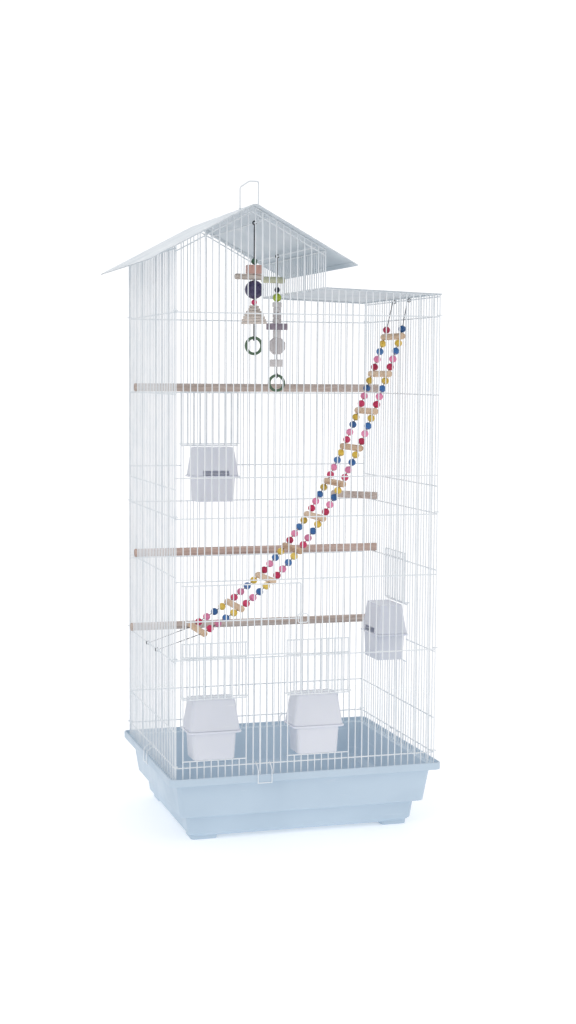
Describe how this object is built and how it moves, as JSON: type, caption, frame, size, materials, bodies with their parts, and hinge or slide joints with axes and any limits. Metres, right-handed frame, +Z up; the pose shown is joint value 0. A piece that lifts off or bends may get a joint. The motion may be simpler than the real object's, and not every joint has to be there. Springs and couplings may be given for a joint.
{
  "type": "bird cage",
  "caption": "Tall wire bird cage with a gabled tower, a flat side roof, a deep tray, sliding feeders, perches, a bead ladder and hanging toys.",
  "frame": {"origin": "middle of the object's box, on the plane of the feet", "axes": "+Z up, +X to the right seen from the front, -Y towards the front with the main door"},
  "size_m": [0.501, 0.404, 1.0573],
  "materials": {
    "wire_paint": "glossy white powder coat",
    "roof_paint": "satin pale blue-grey enamel",
    "tray_plastic": "satin light blue moulded plastic",
    "feeder_plastic": "satin white moulded plastic",
    "wood": "sanded untreated wood",
    "pale_wood": "sanded untreated wood",
    "hook_steel": "plain drawn wire",
    "crimson_wood": "glossy stain",
    "blue_wood": "glossy stain",
    "yellow_wood": "glossy stain",
    "pink_wood": "glossy stain",
    "purple_wood": "glossy stain",
    "lime_wood": "glossy stain",
    "olive_plastic": "glossy"
  },
  "bodies": {
    "cage": {"base_tray": "tray_plastic", "front_panel": "wire_paint", "back_panel": "wire_paint", "left_panel": "wire_paint", "right_panel": "wire_paint", "tower_wall": "wire_paint", "roof_rails": "wire_paint", "corner_rings": "wire_paint", "pitched_roof": "roof_paint", "flat_roof": "roof_paint", "perch_top": "wood", "perch_middle": "wood", "perch_low": "wood", "corner_perch": "wood", "ladder_wires": "hook_steel", "ladder_rungs": "wood", "beads_crimson": "crimson_wood", "beads_blue": "blue_wood", "beads_yellow": "yellow_wood", "beads_pink": "pink_wood"},
    "front_clip": {"clip_front": "wire_paint"},
    "back_clip": {"clip_back": "wire_paint"},
    "left_clip": {"clip_left": "wire_paint"},
    "right_clip": {"clip_right": "wire_paint"},
    "carry_handle": {"handle": "wire_paint"},
    "door": {"main_door": "wire_paint", "door_hinges": "wire_paint", "door_latch": "wire_paint"},
    "feeder_door_a": {"slide_door_a": "wire_paint"},
    "feeder_a": {"cup_a": "feeder_plastic", "hood_a": "feeder_plastic"},
    "feeder_door_b": {"slide_door_b": "wire_paint"},
    "feeder_b": {"cup_b": "feeder_plastic", "hood_b": "feeder_plastic"},
    "feeder_door_c": {"slide_door_c": "wire_paint"},
    "feeder_c": {"cup_c": "feeder_plastic", "hood_c": "feeder_plastic"},
    "feeder_door_d": {"slide_door_d": "wire_paint"},
    "feeder_d": {"cup_d": "feeder_plastic", "hood_d": "feeder_plastic"},
    "toy_a": {"toy_a_wire": "hook_steel", "toy_a_wood": "pale_wood", "toy_a_beads": "purple_wood"},
    "toy_a_loop": {"toy_a_ring": "olive_plastic"},
    "toy_b": {"toy_b_wire": "hook_steel", "toy_b_wood": "pale_wood", "toy_b_beads": "lime_wood"},
    "toy_b_loop": {"toy_b_ring": "olive_plastic"}
  },
  "joints": [
    {"name": "clip_front_swing", "type": "hinge", "parent": "cage", "child": "front_clip", "pos_m": [-0.05771, -0.18, 0.128], "axis": [-1, 0, 0], "range_deg": [0, 110]},
    {"name": "clip_back_swing", "type": "hinge", "parent": "cage", "child": "back_clip", "pos_m": [0.09281, 0.18, 0.128], "axis": [1, 0, 0], "range_deg": [0, 110]},
    {"name": "clip_left_swing", "type": "hinge", "parent": "cage", "child": "left_clip", "pos_m": [-0.20245, -0.00593, 0.128], "axis": [0, 1, 0], "range_deg": [0, 110]},
    {"name": "clip_right_swing", "type": "hinge", "parent": "cage", "child": "right_clip", "pos_m": [0.23755, 0.00593, 0.128], "axis": [0, -1, 0], "range_deg": [0, 110]},
    {"name": "handle_rise", "type": "slide", "parent": "cage", "child": "carry_handle", "axis": [0, 0, 1], "range_m": [0, 0.008]},
    {"name": "main_door_swing", "type": "hinge", "parent": "cage", "child": "door", "pos_m": [-0.19087, -0.18165, 0.363], "axis": [0, 0, -1], "range_deg": [0, 130]},
    {"name": "slide_door_a_lift", "type": "slide", "parent": "cage", "child": "feeder_door_a", "axis": [0, 0, 1], "range_m": [0, 0.02]},
    {"name": "slide_door_b_lift", "type": "slide", "parent": "cage", "child": "feeder_door_b", "axis": [0, 0, 1], "range_m": [0, 0.02]},
    {"name": "slide_door_c_lift", "type": "slide", "parent": "cage", "child": "feeder_door_c", "axis": [0, 0, 1], "range_m": [0, 0.02]},
    {"name": "slide_door_d_lift", "type": "slide", "parent": "cage", "child": "feeder_door_d", "axis": [0, 0, 1], "range_m": [0, 0.02]},
    {"name": "feeder_a_pull", "type": "slide", "parent": "cage", "child": "feeder_a", "axis": [0, -1, 0], "range_m": [0, 0.06]},
    {"name": "feeder_b_pull", "type": "slide", "parent": "cage", "child": "feeder_b", "axis": [0, -1, 0], "range_m": [0, 0.06]},
    {"name": "feeder_c_pull", "type": "slide", "parent": "cage", "child": "feeder_c", "axis": [0, 1, 0], "range_m": [0, 0.06]},
    {"name": "feeder_d_pull", "type": "slide", "parent": "cage", "child": "feeder_d", "axis": [1, 0, 0], "range_m": [0, 0.06]},
    {"name": "toy_a_swing", "type": "hinge", "parent": "cage", "child": "toy_a", "pos_m": [-0.0554, -0.105, 0.99696], "axis": [0, 1, 0], "range_deg": [-20, 20]},
    {"name": "toy_a_ring_swing", "type": "hinge", "parent": "toy_a", "child": "toy_a_loop", "pos_m": [-0.0554, -0.105, 0.81266], "axis": [1, 0, 0], "range_deg": [-30, 30]},
    {"name": "toy_b_swing", "type": "hinge", "parent": "cage", "child": "toy_b", "pos_m": [0.02334, 0.03, 0.95471], "axis": [0, 1, 0], "range_deg": [-3, 25]},
    {"name": "toy_b_ring_swing", "type": "hinge", "parent": "toy_b", "child": "toy_b_loop", "pos_m": [0.02334, 0.03, 0.75181], "axis": [1, 0, 0], "range_deg": [-30, 30]}
  ]
}
